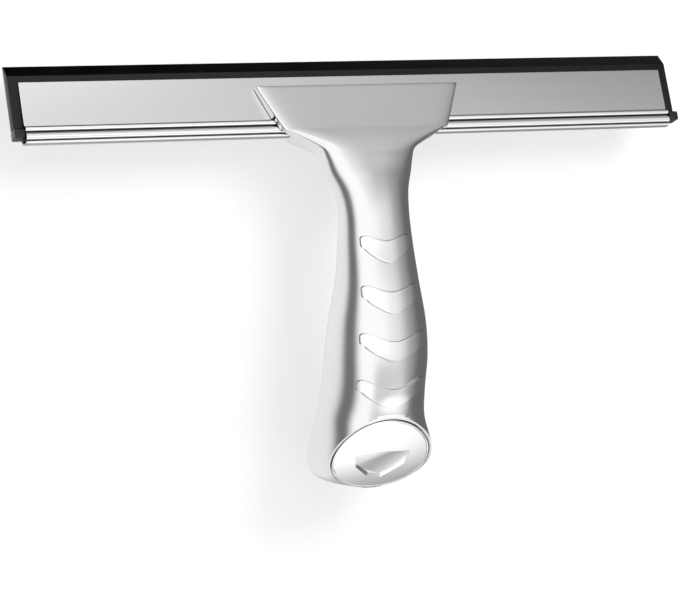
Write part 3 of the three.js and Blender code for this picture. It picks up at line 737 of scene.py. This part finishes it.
@dataclass
class HandleSkin:
    """The outer skin of the handle, and skins parallel to it.

    Attributes:
        sides: Points round a ring.
        rings_per_section: Rings from one section to the next.
        rim: Rings of the rounded rim at the fan's top, as (place in sections, growth).
        rows: All rings, listed once the skin is made.
    """

    sides: int = 176
    rings_per_section: int = 8
    rim: tuple[tuple[float, float], ...] = ((0.0, -0.4), (0.005, -0.17), (0.013, -0.05))
    rows: list[tuple[float, float]] = field(default_factory=list)

    def __post_init__(self) -> None:
        """Lists the rings as (place in sections, growth), with a rounded rim at the fan's top."""
        count = (len(SECTIONS) - 1) * self.rings_per_section
        places = [n / self.rings_per_section for n in range(1, count + 1)]
        self.rows = [*self.rim, (0.026, 0.0), *((place, 0.0) for place in places)]

    def section(self, place: float) -> dict[str, float]:
        """Returns the section's values at a place counted in sections."""
        last = len(SECTIONS) - 1
        i = min(int(place), last - 1)
        t = place - i
        around = [SECTIONS[min(max(n, 0), last)] for n in (i - 1, i, i + 1, i + 2)]
        values = {}
        for key in SECTION_KEYS:
            a, b, c, d = (getattr(section, key) for section in around)
            ease = (1.0 - t) * ((c - a) / 2.0 - (c - b)) - t * ((d - b) / 2.0 - (c - b))
            values[key] = b + (c - b) * t + t * (1.0 - t) * ease
        return values

    def outline(self, values: dict[str, float], grow: float) -> list[tuple[float, float]]:
        """Returns one ring as (across, depth), closest where it bends most.

        Args:
            values: The section's values.
            grow: How far outside the skin the ring is.
        """
        power = 2.0 / values["square"]
        dense = []
        steps = 1440
        for n in range(steps + 1):
            angle = n / steps * 2.0 * math.pi
            sine, cosine = math.sin(angle), math.cos(angle)
            side = math.copysign(abs(sine) ** power, sine) if abs(sine) > 1e-9 else 0.0
            deep = -math.copysign(abs(cosine) ** power, cosine) if abs(cosine) > 1e-9 else 0.0
            waist = values["waist"]
            reach = waist - values["front"] if deep < 0.0 else values["rear"] - waist
            dense.append((side * (values["half"] + grow), waist + deep * (reach + grow)))
        lengths, turns = [0.0], [0.0]
        heading = None
        for (x0, y0), (x1, y1) in zip(dense, dense[1:]):
            step = math.hypot(x1 - x0, y1 - y0)
            now = math.atan2(y1 - y0, x1 - x0) if step > 1e-9 else heading
            turn = 0.0 if heading is None or now is None else abs(math.remainder(now - heading, math.tau))
            heading = now
            lengths.append(lengths[-1] + step)
            turns.append(turns[-1] + turn)
        share = [a / lengths[-1] + b / turns[-1] for a, b in zip(lengths, turns)]
        ring = []
        for n in range(self.sides):
            target = n / self.sides * share[-1]
            k = min(max(bisect_left(share, target), 1), steps)
            t = (target - share[k - 1]) / max(share[k] - share[k - 1], 1e-12)
            (x0, y0), (x1, y1) = dense[k - 1], dense[k]
            ring.append((x0 + (x1 - x0) * t, y0 + (y1 - y0) * t))
        return ring

    def solid(self, grow: float = 0.0) -> bmesh.types.BMesh:
        """Returns the solid inside the skin moved outwards by grow."""
        rings = []
        for place, rim in self.rows:
            values = self.section(place)
            height = values["height"]
            if place == 0.0:
                height += grow
            if place == len(SECTIONS) - 1:
                height -= grow
            lean = Matrix.Rotation(-math.radians(values["lean"]), 3, "X")
            outline = self.outline(values, grow + rim)
            rings.append([lean @ Vector((x, y, height)) for x, y in outline])

        def place_on_ring(share: float, ring: float) -> Vector:
            """Returns the point at a share round a ring."""
            return rings[round(ring)][round(share * self.sides) % self.sides]

        return grid_tube(self.sides, len(rings) - 1, place_on_ring)

    def surface(self, x: float, z: float, grow: float, back: bool) -> Vector:
        """Finds the point of the front or back of a parallel skin at a place and height.

        Args:
            x: Place across.
            z: Height.
            grow: How far outside the skin.
            back: Whether the back is meant.
        """
        low, high = 6.0, float(len(SECTIONS) - 1)
        point = Vector()
        for _ in range(26):
            place = (low + high) / 2.0
            values = self.section(place)
            power = values["square"]
            side = min(abs(x) / (values["half"] + grow), 1.0)
            deep = (1.0 - side**power) ** (1.0 / power)
            if back:
                y = values["waist"] + deep * (values["rear"] - values["waist"] + grow)
            else:
                y = values["waist"] - deep * (values["waist"] - values["front"] + grow)
            lean = Matrix.Rotation(-math.radians(values["lean"]), 3, "X")
            point = lean @ Vector((x, y, values["height"]))
            if point.z > z:
                low = place
            else:
                high = place
        return point


@dataclass(frozen=True)
class GripPad:
    """A raised smile-shaped pad on the front of the grip.

    Attributes:
        number: Counted from the top.
        top: Height of the middle of its upper edge.
        foot: Height of the middle of its lower edge.
        top_half: Half width above.
        foot_half: Half width below.
        top_rise: How far the upper edge's ends stand above its middle.
        foot_rise: The same for the lower edge.
        proud: How far the pad stands out of the grip.
        seat: How deep it sits in its pocket.
        corner: How much its corners are drawn in.
        bend: How round the middle of its edges is; 0 makes them a straight V.
        gap: Room round it in its pocket.
    """

    number: int
    top: float
    foot: float
    top_half: float
    foot_half: float
    top_rise: float
    foot_rise: float
    proud: float = 0.7
    seat: float = 1.4
    corner: float = 1.0
    bend: float = 0.35
    gap: float = 0.1

    def spot(self, across: float, along: float, grow: float) -> tuple[float, float]:
        """Returns the place (x, z) for across and along in -1..1, on an outline moved outwards."""
        drop = (1.0 - along) / 2.0
        climb = (math.hypot(across, self.bend) - self.bend) / (math.hypot(1.0, self.bend) - self.bend)
        top = self.top + grow + self.top_rise * climb
        foot = self.foot - grow + self.foot_rise * climb
        half = self.top_half + (self.foot_half - self.top_half) * min(drop * 4.0, 1.0) + grow
        nook = (abs(across) * abs(along)) ** 7 * self.corner
        x = across * half - math.copysign(nook, across)
        return x, top + (foot - top) * drop - math.copysign(nook * 0.6, along)

    def build(self, skin: HandleSkin) -> None:
        """Builds and dresses the pad on the skin."""

        def place(across: float, along: float, layer: float) -> Vector:
            """Returns a point of the pad's top or of its foot in the pocket."""
            x, z = self.spot(across, along, 0.0)
            return skin.surface(x, z, self.proud if layer > 0.5 else -self.seat, False)

        bm = grid_solid(28, 10, place)
        soften(bm, 0.45, 50.0, 3)
        part = Part(f"grip_rib_{self.number}", f"grip_pad_{self.number}", HANDLE_BODY, "grip_pad", 50.0)
        part.finish(bm, PAD_CHROME)

    def pocket(self, skin: HandleSkin) -> bmesh.types.BMesh:
        """Returns the room that the pad needs in the casting."""

        def place(across: float, along: float, layer: float) -> Vector:
            """Returns a point well in front of the grip or of the pocket's floor."""
            x, z = self.spot(across, along, self.gap)
            return skin.surface(x, z, 3.0 if layer > 0.5 else -self.seat - TOUCH, False)

        return grid_solid(28, 10, place)


PADS = (
    GripPad(1, -35.5, -43.0, 8.2, 9.3, 2.3, 4.9),
    GripPad(2, -52.8, -60.2, 9.6, 10.6, 2.8, 5.1),
    GripPad(3, -69.8, -76.8, 11.2, 12.2, 3.7, 5.9),
    GripPad(4, -86.6, -93.0, 12.0, 12.7, 4.2, 6.0),
)


@dataclass
class ButtPlate:
    """The bright egg-shaped plate in the oblique end of the grip.

    Attributes:
        half_width: Half its width.
        half_length: Half its length.
        egg: How much wider it is below its middle.
        tilt: How far its face leans under.
        middle: Place of its middle.
        proud: How far its rim stands out of the casting.
        seat: How deep it sits in the casting.
        crown: How far its middle stands out of its rim.
        stud: Diameter of the stud behind it.
        stud_length: Length of the stud.
        stud_rise: From the plate's middle up to the stud.
        wall: Metal of the casting behind it.
        recess_mouth: Corners of the recess, as (x, up).
        recess_floor: Points of its floor, as (x, up).
        recess_depth: Depth of its floor.
        recess_step: How far its corners lie below the crowned face.
        sides: Points round the egg.
    """

    half_width: float = 18.4
    half_length: float = 14.8
    egg: float = 0.12
    tilt: float = math.radians(29.7)
    middle: Vector = field(default_factory=lambda: Vector((0.0, -15.3, -110.5)))
    proud: float = 0.5
    seat: float = 2.0
    crown: float = 0.6
    stud: float = 5.0
    stud_length: float = 5.5
    stud_rise: float = 4.5
    wall: float = 2.6
    recess_mouth: tuple[tuple[float, float], ...] = (
        (-10.5, 0.3),
        (-1.6, 1.8),
        (10.5, 1.2),
        (9.5, -4.5),
        (1.5, -10.1),
        (-4.0, -9.0),
        (-9.2, -4.5),
    )
    recess_floor: tuple[tuple[float, float], ...] = ((-8.2, -4.3), (-3.2, -8.2), (1.8, -9.0))
    recess_depth: float = 1.15
    recess_step: float = 0.1
    sides: int = 120

    def settle(self, bm: bmesh.types.BMesh) -> bmesh.types.BMesh:
        """Moves a mesh whose Y points into the grip onto the oblique end, and returns it."""
        turn = Matrix.Rotation(self.tilt, 3, "X")
        bmesh.ops.rotate(bm, verts=bm.verts[:], cent=(0, 0, 0), matrix=turn)
        bmesh.ops.translate(bm, verts=bm.verts[:], vec=self.middle)
        return bm

    def rim_point(self, share: float, inset: float) -> tuple[float, float]:
        """Returns the place (x, up) on the egg at a share round it, moved inwards."""
        angle = share * 2.0 * math.pi
        fatten = 1.0 - self.egg * math.cos(angle)
        x = (self.half_width - inset) * math.sin(angle) * fatten
        return x, (self.half_length - inset) * math.cos(angle)

    def egg_prism(self, grow: float, near: float, far: float) -> bmesh.types.BMesh:
        """Returns an egg-shaped solid between two depths."""
        ring = [self.rim_point(n / self.sides, -grow) for n in range(self.sides)]
        return prism(ring, near, far)

    def profile(self) -> list[tuple[float, float]]:
        """Returns the plate's profile as (share of the egg, depth), from the front's middle."""
        face = [
            (share, -self.proud - self.crown * (1.0 - share * share))
            for share in (0.001, 0.1, 0.2, 0.3, 0.4, 0.5, 0.6, 0.7, 0.78, 0.84, 0.89, 0.92, 0.94)
        ]
        front = -self.proud
        rim = [
            (0.949, front + 0.01),
            (0.957, front + 0.04),
            (0.966, front - 0.01),
            (0.976, front),
            (0.986, front + 0.1),
            (0.995, front + 0.27),
            (1.0, front + 0.55),
        ]
        back = [(1.0, self.seat - 0.3), (0.98, self.seat), (0.5, self.seat), (0.001, self.seat)]
        return [*face, *rim, *back]

    def recess(self) -> bmesh.types.BMesh:
        """Returns the solid to cut out for the faceted hollow below the plate's middle."""
        top = -self.proud - self.crown
        bm = bmesh.new()
        for x, up in self.recess_mouth:
            sunk = self.crown * ((x / self.half_width) ** 2 + (up / self.half_length) ** 2)
            bm.verts.new((x, top + sunk + self.recess_step, up))
            bm.verts.new((x, top - 1.0, up))
        for x, up in self.recess_floor:
            bm.verts.new((x, top + self.recess_depth, up))
        bmesh.ops.convex_hull(bm, input=bm.verts[:])
        bmesh.ops.recalc_face_normals(bm, faces=bm.faces[:])
        return bm

    def build(self) -> None:
        """Builds and dresses the plate with its stud."""
        profile = self.profile()

        def place(share: float, ring: float) -> tuple[float, float, float]:
            """Returns the point at a share round the egg on a ring of the profile."""
            scale, depth = profile[round(ring)]
            x, up = self.rim_point(share, 0.0)
            return (x * scale, depth, up * scale)

        plate = grid_tube(self.sides, len(profile) - 1, place)
        stud = rod(self.stud, self.seat - 0.5, self.seat + self.stud_length, 0.0, self.stud_rise)
        bm = combine(plate, [("DIFFERENCE", self.recess()), ("UNION", stud)])
        part = Part("butt_plate", "butt_cap", HANDLE_BODY, "butt_cap", 7.0)
        part.finish(self.settle(bm), BRIGHT_CHROME)

    def beyond(self, depth: float) -> bmesh.types.BMesh:
        """Returns a block that holds all on the outer side of a plane behind the plate's face."""
        return self.settle(block((80.0, 60.0, 90.0), (0.0, depth - 30.0, 0.0)))


@dataclass
class RearCover:
    """The cover in the back of the grip and its two screws.

    Attributes:
        top: Height of its upper end.
        foot: Height of its lower end.
        top_half: Half width above.
        foot_half: Half width below.
        thickness: Thickness of the cover.
        gasket: Thickness of the seal under it.
        ledge: Width of the step that it sits on.
        screw_heights: Heights of its screws.
        screw_diameter: Diameter of their shanks.
        head_diameter: Diameter of their heads.
        head_height: Height of their heads.
    """

    top: float = -34.0
    foot: float = -112.0
    top_half: float = 7.0
    foot_half: float = 11.5
    thickness: float = 2.2
    gasket: float = 0.8
    ledge: float = 2.0
    screw_heights: tuple[float, float] = (-44.0, -91.0)
    screw_diameter: float = 2.5
    head_diameter: float = 4.6
    head_height: float = 1.2

    def width(self, z: float, grow: float) -> float:
        """Returns the cover's half width at a height, on an outline moved outwards."""
        top, foot = self.top - self.top_half, self.foot + self.foot_half
        top_half, foot_half = self.top_half + grow, self.foot_half + grow
        if z > top:
            return math.sqrt(max(top_half**2 - (z - top) ** 2, 0.0))
        if z < foot:
            return math.sqrt(max(foot_half**2 - (foot - z) ** 2, 0.0))
        return top_half + (foot_half - top_half) * (top - z) / (top - foot)

    def prism(self, grow: float, near: float, far: float) -> bmesh.types.BMesh:
        """Returns a solid with the cover's outline, moved outwards, between two depths."""
        centre = (self.top + self.foot) / 2.0
        reach = (self.top - self.foot) / 2.0 + grow
        angles = [n / 48 * 2.0 * math.pi for n in range(48)]
        heights = [centre + reach * math.cos(angle) for angle in angles]
        ring = [
            (math.copysign(self.width(z, grow), math.sin(angle)), z)
            for angle, z in zip(angles, heights)
        ]
        ring[0], ring[24] = (0.0, heights[0]), (0.0, heights[24])
        return prism(ring, near, far)

    def solid(
        self, skin: HandleSkin, grow: float, outer: float, inner: float
    ) -> bmesh.types.BMesh:
        """Returns a slab in the back of the grip.

        Args:
            skin: The handle's skin.
            grow: How far the outline is moved outwards.
            outer: How far the slab's outside is outside the skin.
            inner: How far its inside is outside the skin.
        """
        centre = (self.top + self.foot) / 2.0
        reach = (self.top - self.foot) / 2.0 + grow

        def place(across: float, along: float, layer: float) -> Vector:
            """Returns a point of the slab's outside or inside."""
            z = centre + reach * math.sin(along * math.pi / 2.0)
            x = across * self.width(z, grow)
            return skin.surface(x, z, outer if layer > 0.5 else inner, True)

        return grid_solid(14, 60, place)

    def build(self, skin: HandleSkin) -> None:
        """Builds and dresses the cover and its screws."""
        cover = self.solid(skin, 0.0, 0.0, -self.thickness)
        soften(cover, 0.3, 50.0, 2)
        steps = []
        for height, word in zip(self.screw_heights, ("upper", "lower")):
            back = skin.surface(0.0, height, 0.0, True).y
            hole = self.screw_diameter + 2.0 * TOUCH
            sink = self.head_diameter + 2.0 * TOUCH
            steps.append(("DIFFERENCE", rod(hole, -20.0, 20.0, 0.0, height)))
            steps.append(("DIFFERENCE", rod(sink, back - self.head_height, 20.0, 0.0, height)))
            seat = back - self.head_height + TOUCH
            screw = Screw(
                self.screw_diameter, self.head_diameter, -10.0, seat, back + 0.2, 0.0, height
            )
            part = Part(f"cap_screw_{word}", f"cover_screw_{word}", HANDLE_BODY, "fastener")
            part.finish(screw.mesh(), SCREW_STEEL)
        part = Part("grip_back", "rear_cover", HANDLE_BODY, "casting", 40.0)
        part.finish(combine(cover, steps), SATIN_CHROME)


@dataclass
class Handle:
    """The casting and all that is let into it.

    Attributes:
        skin: The outer skin.
        plate: The plate in the oblique end.
        cover: The cover in the back.
        wall: Metal between the skin and the hollow.
        hollow_mouth: Depth from which the hollow is as wide as the cover's opening.
        clamp_hole: Diameter of the holes for the clamp's screws.
        boss: Diameter of the posts for the cover's screws.
        boss_hole: Diameter of the holes in them.
        stud_reach: Depth of the hole for the plate's stud.
    """

    skin: HandleSkin = field(default_factory=HandleSkin)
    plate: ButtPlate = field(default_factory=ButtPlate)
    cover: RearCover = field(default_factory=RearCover)
    wall: float = 4.2
    hollow_mouth: float = -10.0
    clamp_hole: float = 3.6
    boss: float = 6.4
    boss_hole: float = 3.1
    stud_reach: float = 14.0

    def channel_room(self) -> bmesh.types.BMesh:
        """Returns the room for the steel channel behind the fan."""
        points = [
            (-TOUCH, 41.7),
            (-TOUCH, 6.5),
            (-1.7, 5.8),
            (-1.7, 0.75),
            (-1.0, -TOUCH),
            (35.5, -TOUCH),
            (35.5, 41.7),
        ]
        return lean_back(rail(points, Head.length))

    def build_casting(self) -> None:
        """Builds and dresses the casting: fan, neck and grip in one piece."""
        skin, plate, cover = self.skin, self.plate, self.cover
        floor = plate.seat + TOUCH + plate.wall
        depth = cover.thickness + cover.gasket + 2.0 * TOUCH
        steps = [
            ("DIFFERENCE", plate.beyond(0.0)),
            ("DIFFERENCE", self.channel_room()),
            ("DIFFERENCE", lean_back(block((60.0, 20.0, 40.0), (0.0, 15.5, 6.7)))),
        ]
        steps += [
            ("DIFFERENCE", lean_back(rod(self.clamp_hole, -1.8, 15.5, x, Clamp.screw_height)))
            for x in (-Clamp.spread, Clamp.spread)
        ]
        core = combine(
            cover.prism(-cover.ledge, -60.0, 20.0), [("INTERSECT", skin.solid(-self.wall))]
        )
        mouth = cover.prism(-cover.ledge, self.hollow_mouth, 20.0)
        hollow = combine(core, [("UNION", mouth), ("DIFFERENCE", plate.beyond(floor))])
        steps.append(("DIFFERENCE", cover.solid(skin, TOUCH, 6.0, -depth)))
        steps.append(("DIFFERENCE", hollow))
        for height in cover.screw_heights:
            back = skin.surface(0.0, height, -depth, True).y
            steps.append(("UNION", rod(self.boss, -20.0, back - 0.1, 0.0, height)))
            steps.append(("DIFFERENCE", rod(self.boss_hole, -12.0, 20.0, 0.0, height)))
        steps += [("DIFFERENCE", pad.pocket(skin)) for pad in PADS]
        egg = plate.settle(plate.egg_prism(TOUCH, -20.0, plate.seat + TOUCH))
        stud_hole = plate.settle(rod(plate.stud + 2.0 * TOUCH, 0.0, self.stud_reach, 0.0, plate.stud_rise))
        steps += [("DIFFERENCE", egg), ("DIFFERENCE", stud_hole)]
        part = Part("handle_shell", "handle_casting", HANDLE_BODY, "casting", 30.0)
        part.finish(combine(skin.solid(), steps), SATIN_CHROME)

    def build(self) -> None:
        """Builds the handle's pieces."""
        self.build_casting()
        for pad in PADS:
            pad.build(self.skin)
        self.plate.build()
        self.cover.build(self.skin)


def dress_hidden_nodes() -> None:
    """Gives the CAD nodes that stay their finishes."""
    for node, finish in (("cover_gasket", SEAL_RUBBER), ("butt_cap_nut", SCREW_STEEL)):
        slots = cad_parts[node].material_slots
        for slot in slots:
            slot.material = finish.material()
        LOG.info("%s: %s", node, finish.name)


# ---- the studio ---------------------------------------------------------------------------------


@dataclass(frozen=True)
class Glow:
    """A soft round patch of the studio's light, or of its shade where strength is below zero.

    Attributes:
        azimuth: Degrees to the left of straight in front.
        elevation: Degrees above the horizon.
        inner: Radius in degrees within which it is full.
        outer: Radius in degrees where it ends.
        strength: How much it adds.
        tall: Whether it is a stripe from floor to ceiling, which takes no heed of elevation.
    """

    azimuth: float
    elevation: float
    inner: float
    outer: float
    strength: float
    tall: bool = False

    def direction(self) -> Vector:
        """Returns the direction to the middle of the patch."""
        a, e = math.radians(self.azimuth), math.radians(self.elevation)
        return Vector((-math.sin(a) * math.cos(e), -math.cos(a) * math.cos(e), math.sin(e)))


@dataclass
class Studio:
    """The camera, the pale floor and wall, and the light.

    Attributes:
        camera_place: Place of the camera.
        azimuth: Where the camera looks from, round the object.
        elevation: The same, above the level.
        lens: Focal length.
        floor_height: Height of the floor.
        wall_depth: Depth of the wall behind the object.
        wall_lift: Share of the wall's shader that glows by itself.
        base: Brightness of the surroundings without the glows.
        glows: Bright and dark patches of the surroundings.
    """

    camera_place: Vector = field(default_factory=lambda: Vector((-0.4333, -0.94483, 0.06613)))
    azimuth: float = math.radians(-24.18)
    elevation: float = math.radians(6.73)
    lens: float = 158.0
    floor_height: float = -0.21
    wall_depth: float = 0.024
    wall_lift: float = 0.60
    base: float = 0.42
    glows: tuple[Glow, ...] = (
        Glow(14.0, 0.0, 24.0, 60.0, 0.85, tall=True),
        Glow(84.0, 0.0, 8.0, 36.0, -0.23, tall=True),
        Glow(152.0, 0.0, 8.0, 58.0, 0.58, tall=True),
        Glow(-100.0, 0.0, 20.0, 55.0, -0.26, tall=True),
        Glow(-16.0, 36.0, 4.0, 18.0, -0.30),
        Glow(-38.0, -46.0, 8.0, 24.0, 0.72),
        Glow(-112.0, -60.0, 6.0, 20.0, 0.65),
        Glow(-72.0, -74.0, 10.0, 26.0, 0.24),
        Glow(-34.0, 74.0, 8.0, 26.0, 0.25),
        Glow(156.0, 70.0, 20.0, 38.0, -0.95),
        Glow(-10.0, -28.0, 5.0, 22.0, -0.50),
    )

    def build_camera(self) -> None:
        """Makes the camera and makes it the scene's."""
        data = bpy.data.cameras.new("camera")
        data.sensor_width = 36.0
        data.lens = self.lens
        camera = bpy.data.objects.new("camera", data)
        a, e = self.azimuth, self.elevation
        back = Vector((math.sin(a) * math.cos(e), -math.cos(a) * math.cos(e), math.sin(e)))
        camera.location = self.camera_place
        camera.rotation_mode = "QUATERNION"
        camera.rotation_quaternion = (-back).to_track_quat("-Z", "Y")
        bpy.context.scene.collection.objects.link(camera)
        bpy.context.scene.camera = camera

    def build_floor(self) -> None:
        """Makes the pale floor under the object."""
        bm = bmesh.new()
        bmesh.ops.create_grid(bm, x_segments=1, y_segments=1, size=6.0)
        bmesh.ops.translate(bm, verts=bm.verts[:], vec=(0.0, 0.0, self.floor_height))
        floor = self.stage_object("floor", bm)
        floor.visible_glossy = False
        material = bpy.data.materials.new("pale_floor")
        material.use_nodes = True
        shader = material.node_tree.nodes["Principled BSDF"]
        shader.inputs["Base Color"].default_value = (0.82, 0.82, 0.82, 1.0)
        shader.inputs["Roughness"].default_value = 0.9
        floor.data.materials.append(material)

    def build_wall(self) -> None:
        """Makes the pale wall behind the object, which is only there seen from in front."""
        bm = bmesh.new()
        bmesh.ops.create_grid(bm, x_segments=1, y_segments=1, size=3.0)
        turn = Matrix.Rotation(math.radians(90.0), 3, "X")
        bmesh.ops.rotate(bm, verts=bm.verts[:], cent=(0, 0, 0), matrix=turn)
        middle = self.floor_height + 3.0
        bmesh.ops.translate(bm, verts=bm.verts[:], vec=(0.0, self.wall_depth, middle))
        wall = self.stage_object("wall", bm)
        wall.visible_diffuse = False
        wall.visible_glossy = False
        wall.visible_transmission = False
        wall.visible_shadow = False
        material = bpy.data.materials.new("pale_wall")
        material.use_nodes = True
        nodes, links = material.node_tree.nodes, material.node_tree.links
        nodes.clear()
        out = nodes.new("ShaderNodeOutputMaterial")
        paint = nodes.new("ShaderNodeBsdfDiffuse")
        paint.inputs["Color"].default_value = (0.95, 0.95, 0.95, 1.0)
        lift = nodes.new("ShaderNodeEmission")
        pale = nodes.new("ShaderNodeMixShader")
        pale.inputs["Fac"].default_value = self.wall_lift
        links.new(paint.outputs["BSDF"], pale.inputs[1])
        links.new(lift.outputs["Emission"], pale.inputs[2])
        clear = nodes.new("ShaderNodeBsdfTransparent")
        side = nodes.new("ShaderNodeNewGeometry")
        mix = nodes.new("ShaderNodeMixShader")
        links.new(side.outputs["Backfacing"], mix.inputs["Fac"])
        links.new(pale.outputs["Shader"], mix.inputs[1])
        links.new(clear.outputs["BSDF"], mix.inputs[2])
        links.new(mix.outputs["Shader"], out.inputs["Surface"])
        wall.data.materials.append(material)

    def stage_object(self, name: str, bm: bmesh.types.BMesh) -> bpy.types.Object:
        """Puts a mesh in metres into a stage object and returns it."""
        mesh = bpy.data.meshes.new(name)
        bm.to_mesh(mesh)
        bm.free()
        thing = bpy.data.objects.new(name, mesh)
        bpy.context.scene.collection.objects.link(thing)
        return thing

    def build_world(self) -> None:
        """Makes the soft surrounding light out of a base and its glows."""
        world = bpy.data.worlds.new("studio")
        bpy.context.scene.world = world
        world.use_nodes = True
        nodes, links = world.node_tree.nodes, world.node_tree.links
        nodes.clear()
        place = nodes.new("ShaderNodeTexCoord")
        flat = nodes.new("ShaderNodeVectorMath")
        flat.operation = "MULTIPLY"
        flat.inputs[1].default_value = (1.0, 1.0, 0.0)
        unit = nodes.new("ShaderNodeVectorMath")
        unit.operation = "NORMALIZE"
        links.new(place.outputs["Generated"], flat.inputs[0])
        links.new(flat.outputs["Vector"], unit.inputs[0])
        level = unit.outputs["Vector"]
        total = None
        for glow in self.glows:
            dot = nodes.new("ShaderNodeVectorMath")
            dot.operation = "DOT_PRODUCT"
            dot.inputs[1].default_value = glow.direction()
            links.new(level if glow.tall else place.outputs["Generated"], dot.inputs[0])
            spread = nodes.new("ShaderNodeMapRange")
            spread.interpolation_type = "SMOOTHSTEP"
            spread.inputs["From Min"].default_value = math.cos(math.radians(glow.outer))
            spread.inputs["From Max"].default_value = math.cos(math.radians(glow.inner))
            spread.inputs["To Max"].default_value = glow.strength
            links.new(dot.outputs["Value"], spread.inputs["Value"])
            add = nodes.new("ShaderNodeMath")
            add.operation = "ADD"
            add.inputs[1].default_value = self.base
            if total is not None:
                links.new(total, add.inputs[1])
            links.new(spread.outputs["Result"], add.inputs[0])
            total = add.outputs["Value"]
        studio = nodes.new("ShaderNodeBackground")
        links.new(total, studio.inputs["Strength"])
        plain = nodes.new("ShaderNodeBackground")
        plain.inputs["Strength"].default_value = 1.0
        plain.inputs["Color"].default_value = (1.0, 1.0, 1.0, 1.0)
        studio.inputs["Color"].default_value = (1.0, 1.0, 1.0, 1.0)
        path = nodes.new("ShaderNodeLightPath")
        mix = nodes.new("ShaderNodeMixShader")
        out = nodes.new("ShaderNodeOutputWorld")
        links.new(path.outputs["Is Camera Ray"], mix.inputs["Fac"])
        links.new(studio.outputs["Background"], mix.inputs[1])
        links.new(plain.outputs["Background"], mix.inputs[2])
        links.new(mix.outputs["Shader"], out.inputs["Surface"])

    def build_lamp(
        self, name: str, place: Sequence[float], aim: Sequence[float], size: float, power: float
    ) -> None:
        """Makes a soft square lamp that isn't seen in reflections.

        Args:
            name: Name of the lamp.
            place: Where it is.
            aim: The point that it faces.
            size: Length of a side.
            power: Watts.
        """
        data = bpy.data.lights.new(name, "AREA")
        data.size = size
        data.energy = power
        lamp = bpy.data.objects.new(name, data)
        lamp.location = place
        lamp.rotation_mode = "QUATERNION"
        lamp.rotation_quaternion = (Vector(aim) - Vector(place)).to_track_quat("-Z", "Y")
        lamp.visible_glossy = False
        bpy.context.scene.collection.objects.link(lamp)

    def build(self) -> None:
        """Builds the studio."""
        self.build_camera()
        self.build_floor()
        self.build_wall()
        self.build_world()
        self.build_lamp("key_lamp", (0.42, -0.8, 0.62), (0.0, 0.0, -0.05), 0.6, 10.0)
        view = bpy.context.scene.view_settings
        view.view_transform = "Standard"
        LOG.info("studio: %d glows", len(self.glows))


def main() -> None:
    """Builds the squeegee and its studio."""
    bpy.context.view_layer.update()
    Studio().build()
    Head().build()
    Clamp().build()
    Handle().build()
    dress_hidden_nodes()


if __name__ == "__main__":
    main()
